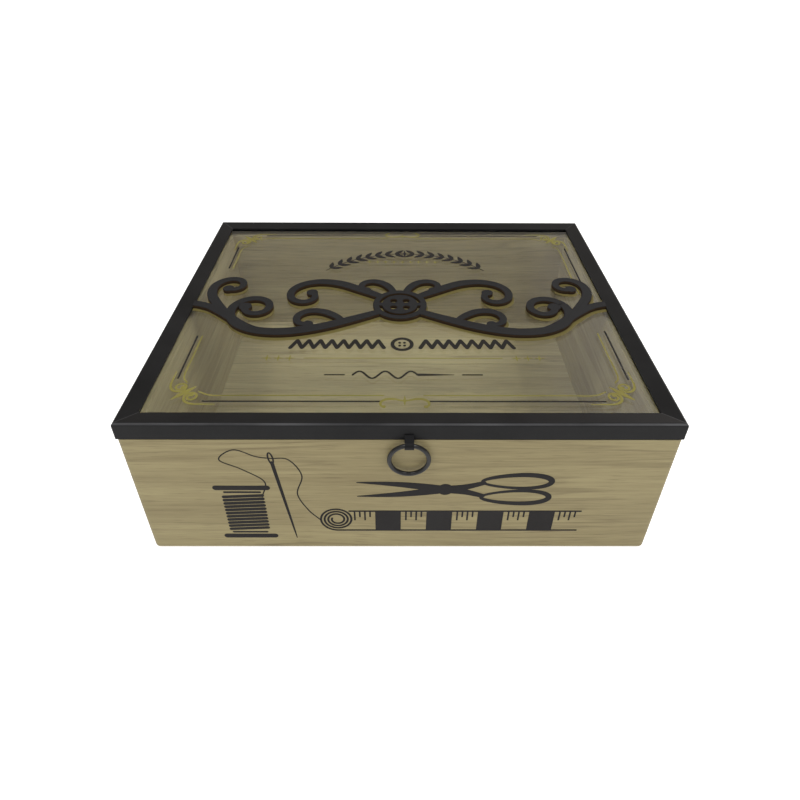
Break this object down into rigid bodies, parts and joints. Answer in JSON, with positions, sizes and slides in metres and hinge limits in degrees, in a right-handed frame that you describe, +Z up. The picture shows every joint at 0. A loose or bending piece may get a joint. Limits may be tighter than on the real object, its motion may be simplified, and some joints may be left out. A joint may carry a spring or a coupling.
{
  "type": "sewing box",
  "caption": "Low oak-look sewing box, one open compartment, hinged lid of clear glass in a black metal frame with a raised scroll cut-out and a hanging pull ring.",
  "frame": {"origin": "middle of the base, on the surface the box stands on", "axes": "+X to the right along the front, +Y to the hinges at the back, +Z up"},
  "size_m": [0.24, 0.2081, 0.0824],
  "materials": {
    "oak_foil_board": "matt oak-look foil with fine horizontal grain and charcoal prints",
    "black_frame": "satin black powder coat",
    "black_ornament": "matt black paint",
    "black_hinge": "black lacquered steel",
    "steel_fixings": "zinc plated",
    "black_wire": "glossy black wire",
    "clear_glass": "clear float glass printed in black and gold"
  },
  "bodies": {
    "box": {"front_wall": "oak_foil_board", "back_wall": "oak_foil_board", "left_wall": "oak_foil_board", "right_wall": "oak_foil_board", "bottom_panel": "oak_foil_board", "left_hinge_box_leaf": "black_hinge", "right_hinge_box_leaf": "black_hinge", "left_hinge_pin": "steel_fixings", "right_hinge_pin": "steel_fixings", "hinge_screws": "steel_fixings"},
    "lid": {"lid_front_rail": "black_frame", "lid_back_rail": "black_frame", "lid_left_rail": "black_frame", "lid_right_rail": "black_frame", "glass_pane": "clear_glass", "glass_clips": "black_frame", "raised_ornament": "black_ornament", "pull_tab": "black_frame", "left_hinge_lid_leaf": "black_hinge", "right_hinge_lid_leaf": "black_hinge"},
    "ring": {"pull_ring": "black_wire"}
  },
  "joints": [
    {"name": "lid_open", "type": "hinge", "parent": "box", "child": "lid", "pos_m": [0, 0.10225, 0.0743], "axis": [-1, 0, 0], "range_deg": [0, 105]},
    {"name": "ring_swing", "type": "hinge", "parent": "lid", "child": "ring", "pos_m": [0.0037, -0.1022, 0.0723], "axis": [-1, 0, 0], "range_deg": [-3, 175]}
  ]
}
